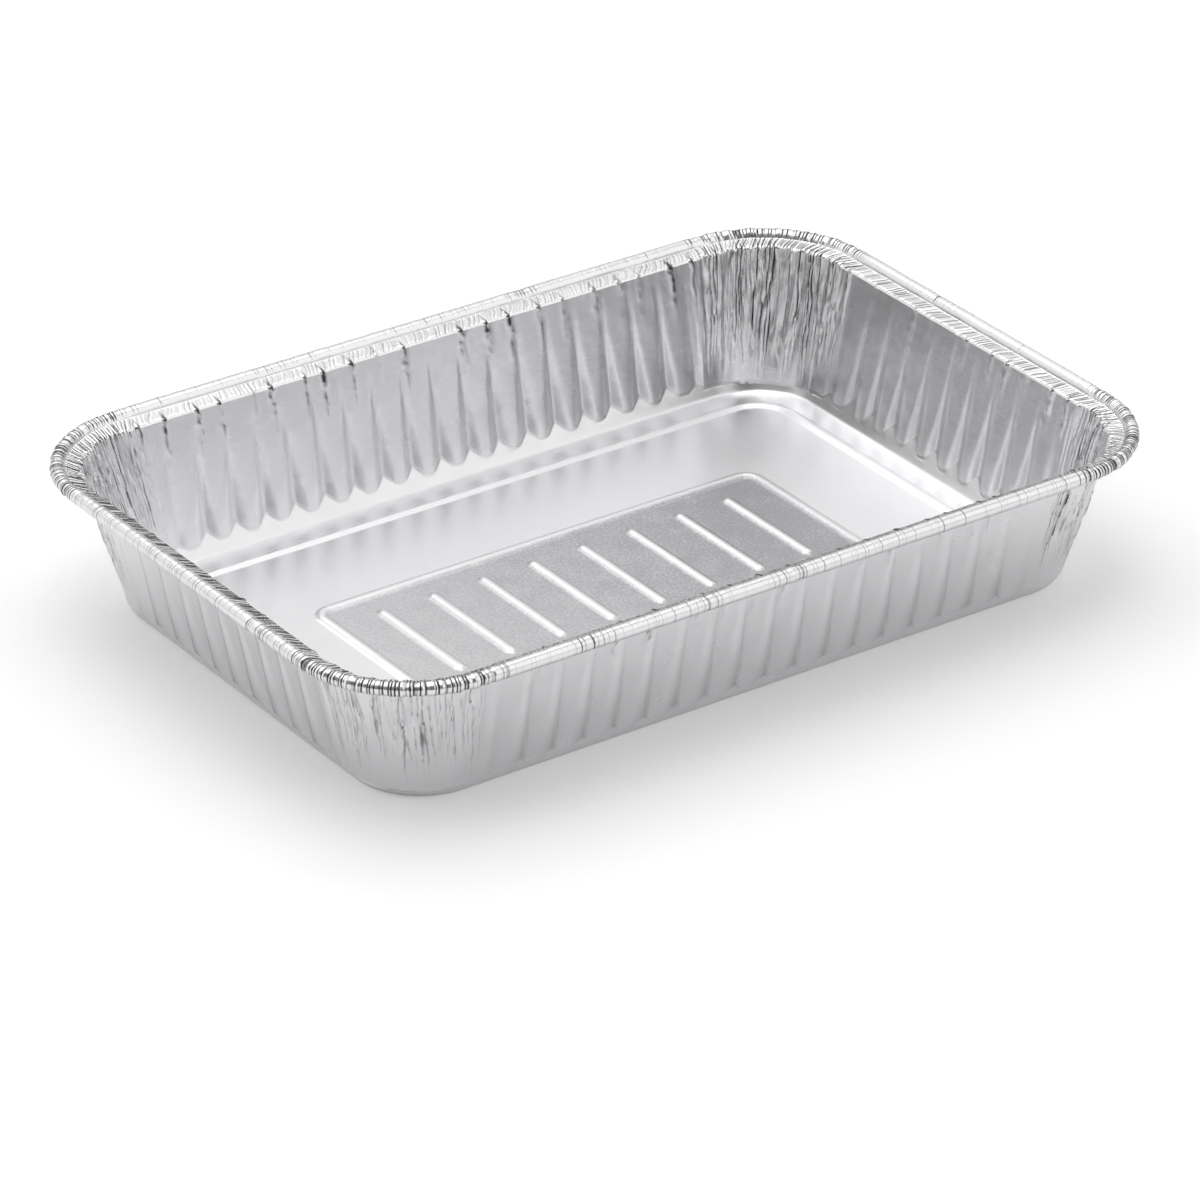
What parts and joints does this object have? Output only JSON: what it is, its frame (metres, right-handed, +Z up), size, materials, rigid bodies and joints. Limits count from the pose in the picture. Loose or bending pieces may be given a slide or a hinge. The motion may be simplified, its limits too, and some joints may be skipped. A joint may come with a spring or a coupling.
{
  "type": "foil drip pan",
  "caption": "Disposable aluminium foil drip pan: shallow rectangular tray with grooved walls, flange, rolled rim and embossed floor.",
  "frame": {"origin": "on the ground under the middle of the pan", "axes": "+X along the pan's long side, +Y across it, +Z up out of its open top"},
  "size_m": [0.33, 0.228, 0.0546],
  "materials": {
    "foil": "bright satin foil"
  },
  "bodies": {
    "root": {"drip_pan": "foil"}
  },
  "joints": []
}
